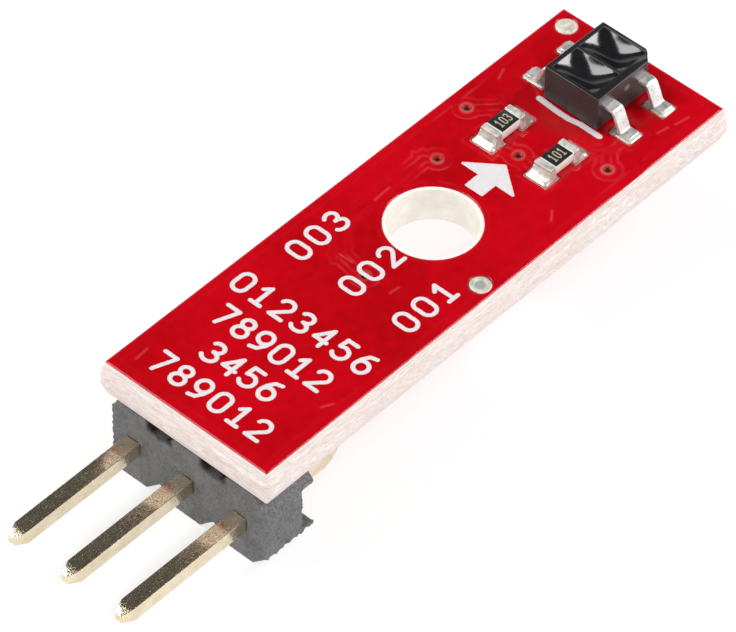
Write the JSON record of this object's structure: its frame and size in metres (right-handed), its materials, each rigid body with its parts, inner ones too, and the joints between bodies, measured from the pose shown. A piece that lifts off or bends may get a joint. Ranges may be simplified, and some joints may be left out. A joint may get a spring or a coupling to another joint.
{
  "type": "line sensor board",
  "caption": "Slim rectangular circuit board that senses a line by reflected infrared light, with a screw hole and a right-angle pin header under one end",
  "frame": {"origin": "axis of the mounting hole at the underside of the laminate", "axes": "+X along the board to the sensor end, away from the header; +Y across the board to the signal pin's side; +Z out of the face that carries the sensor"},
  "size_m": [0.0303, 0.008, 0.0068],
  "materials": {
    "laminate": "glass-fibre epoxy, broken and sawn edges, matte",
    "copper": "copper foil",
    "solder_mask": "red lacquer, semi-gloss, over foil",
    "marking_ink": "white printed ink",
    "solder": "tin solder, satin to bright",
    "header_plastic": "glass-filled moulding, dull, with cut ends",
    "pin_metal": "pale gold flash on square wire",
    "sensor_plastic": "black epoxy moulding, fine matte",
    "window_resin": "dark clear resin, polished hollow",
    "die": "semiconductor die",
    "bond_wire": "gold wire",
    "tinned_lead": "bright tin",
    "ceramic": "white alumina",
    "resistor_film": "black glass overcoat",
    "end_cap": "tin plate, satin",
    "code_ink": "cream printed ink"
  },
  "bodies": {
    "root": {"laminate": "laminate", "copper_top": "copper", "copper_bottom": "copper", "solder_mask_top": "solder_mask", "solder_mask_bottom": "solder_mask", "board_markings": "marking_ink", "via_barrels": "copper", "plated_hole": "solder", "fiducial_disc": "solder", "header_housing": "header_plastic", "pin_signal": "pin_metal", "pin_supply": "pin_metal", "pin_ground": "pin_metal", "header_solder": "solder", "sensor_housing": "sensor_plastic", "emitter_window": "window_resin", "detector_window": "window_resin", "emitter_die": "die", "detector_die": "die", "emitter_bond_wire": "bond_wire", "detector_bond_wire": "bond_wire", "lead_anode": "tinned_lead", "lead_cathode": "tinned_lead", "lead_collector": "tinned_lead", "lead_emitter": "tinned_lead", "sensor_solder": "solder", "pullup_core": "ceramic", "pullup_film": "resistor_film", "pullup_end_caps": "end_cap", "pullup_code_ink": "code_ink", "pullup_solder": "solder", "series_core": "ceramic", "series_film": "resistor_film", "series_end_caps": "end_cap", "series_code_ink": "code_ink", "series_solder": "solder"}
  },
  "joints": []
}
